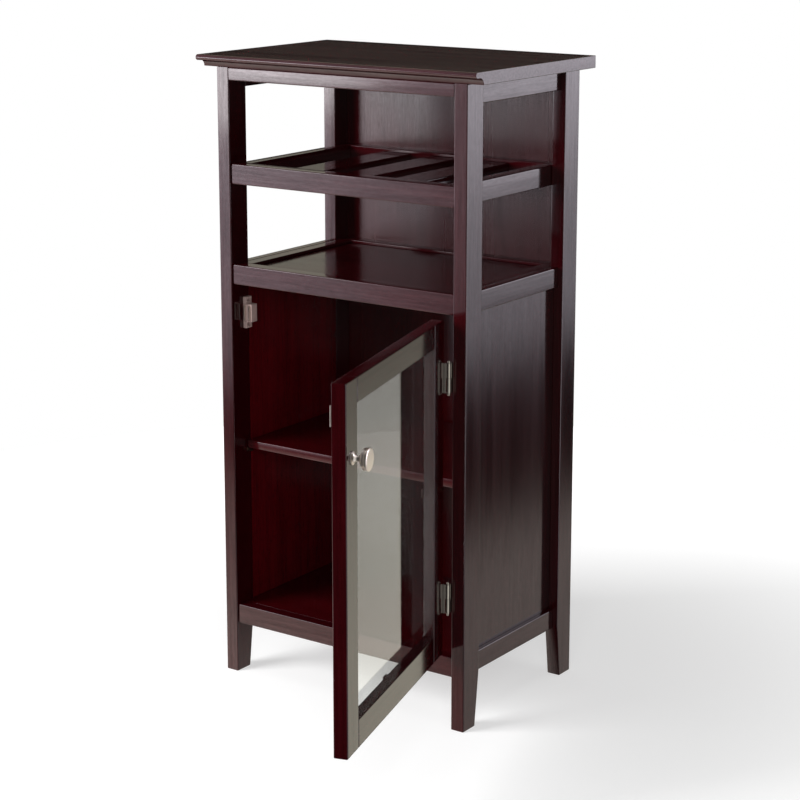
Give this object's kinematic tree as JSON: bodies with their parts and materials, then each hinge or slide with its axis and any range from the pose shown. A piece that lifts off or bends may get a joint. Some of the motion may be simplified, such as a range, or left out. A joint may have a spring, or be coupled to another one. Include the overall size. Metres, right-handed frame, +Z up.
{
  "type": "wine cabinet",
  "caption": "Wooden wine cabinet on tapered legs, with an open bay, a slatted bottle rack, a sunk tray, and a cupboard with an adjustable shelf behind a glazed door.",
  "frame": {"origin": "middle of the front left foot's underside, left as seen by a person facing the cabinet's front", "axes": "+X to the right along the front, +Y from the front to the back, +Z up"},
  "size_m": [0.5642, 0.6922, 0.953],
  "materials": {
    "wood": "dark espresso stain under satin lacquer",
    "interior": "dark red-brown stain under satin lacquer",
    "glass": "clear, polished",
    "nickel": "satin nickel plating",
    "plastic": "moulded brown plastic"
  },
  "bodies": {
    "root": {"top_board": "wood", "post_front_left": "wood", "post_front_right": "wood", "post_back_left": "wood", "post_back_right": "wood", "top_rail_front": "wood", "top_rail_back": "wood", "top_rail_left": "wood", "top_rail_right": "wood", "rack_rail_front": "wood", "rack_rail_back": "wood", "rack_rail_left": "wood", "rack_rail_right": "wood", "rack_slat_left": "wood", "rack_slat_middle": "wood", "rack_slat_right": "wood", "tray_rail_front": "wood", "tray_rail_back": "wood", "tray_rail_left": "wood", "tray_rail_right": "wood", "tray_panel": "wood", "middle_rail_left": "wood", "middle_rail_right": "wood", "bottom_rail_front": "wood", "bottom_rail_back": "wood", "bottom_rail_left": "wood", "bottom_rail_right": "wood", "side_panel_left": "wood", "side_panel_right": "wood", "floor_panel": "interior", "lower_back_panel": "interior", "upper_back_panel": "wood", "shelf_pin_front_left": "nickel", "shelf_pin_front_right": "nickel", "shelf_pin_back_left": "nickel", "shelf_pin_back_right": "nickel", "hinge_upper_post_leaf": "nickel", "hinge_upper_pin": "nickel", "hinge_lower_post_leaf": "nickel", "hinge_lower_pin": "nickel", "catch_bracket": "plastic", "catch_case": "plastic", "catch_pole_left": "nickel", "catch_pole_right": "nickel"},
    "shelf": {"shelf": "interior"},
    "door": {"door_stile_free": "wood", "door_stile_hinge": "wood", "door_rail_top": "wood", "door_rail_bottom": "wood", "door_glass": "glass", "glass_clip_free": "plastic", "glass_clip_bottom": "plastic", "glass_clip_hinge": "plastic", "glass_clip_top": "plastic", "knob": "nickel", "knob_screw": "nickel", "hinge_upper_door_leaf": "nickel", "hinge_lower_door_leaf": "nickel", "strike_plate": "nickel"}
  },
  "joints": [
    {"name": "door_hinge", "type": "hinge", "parent": "root", "child": "door", "pos_m": [0.405, -0.0215, 0.3625], "axis": [0, 0, 1], "range_deg": [-106, 74]},
    {"name": "shelf_lift", "type": "slide", "parent": "root", "child": "shelf", "axis": [0, 0, 1], "range_m": [0, 0.1155]}
  ]
}
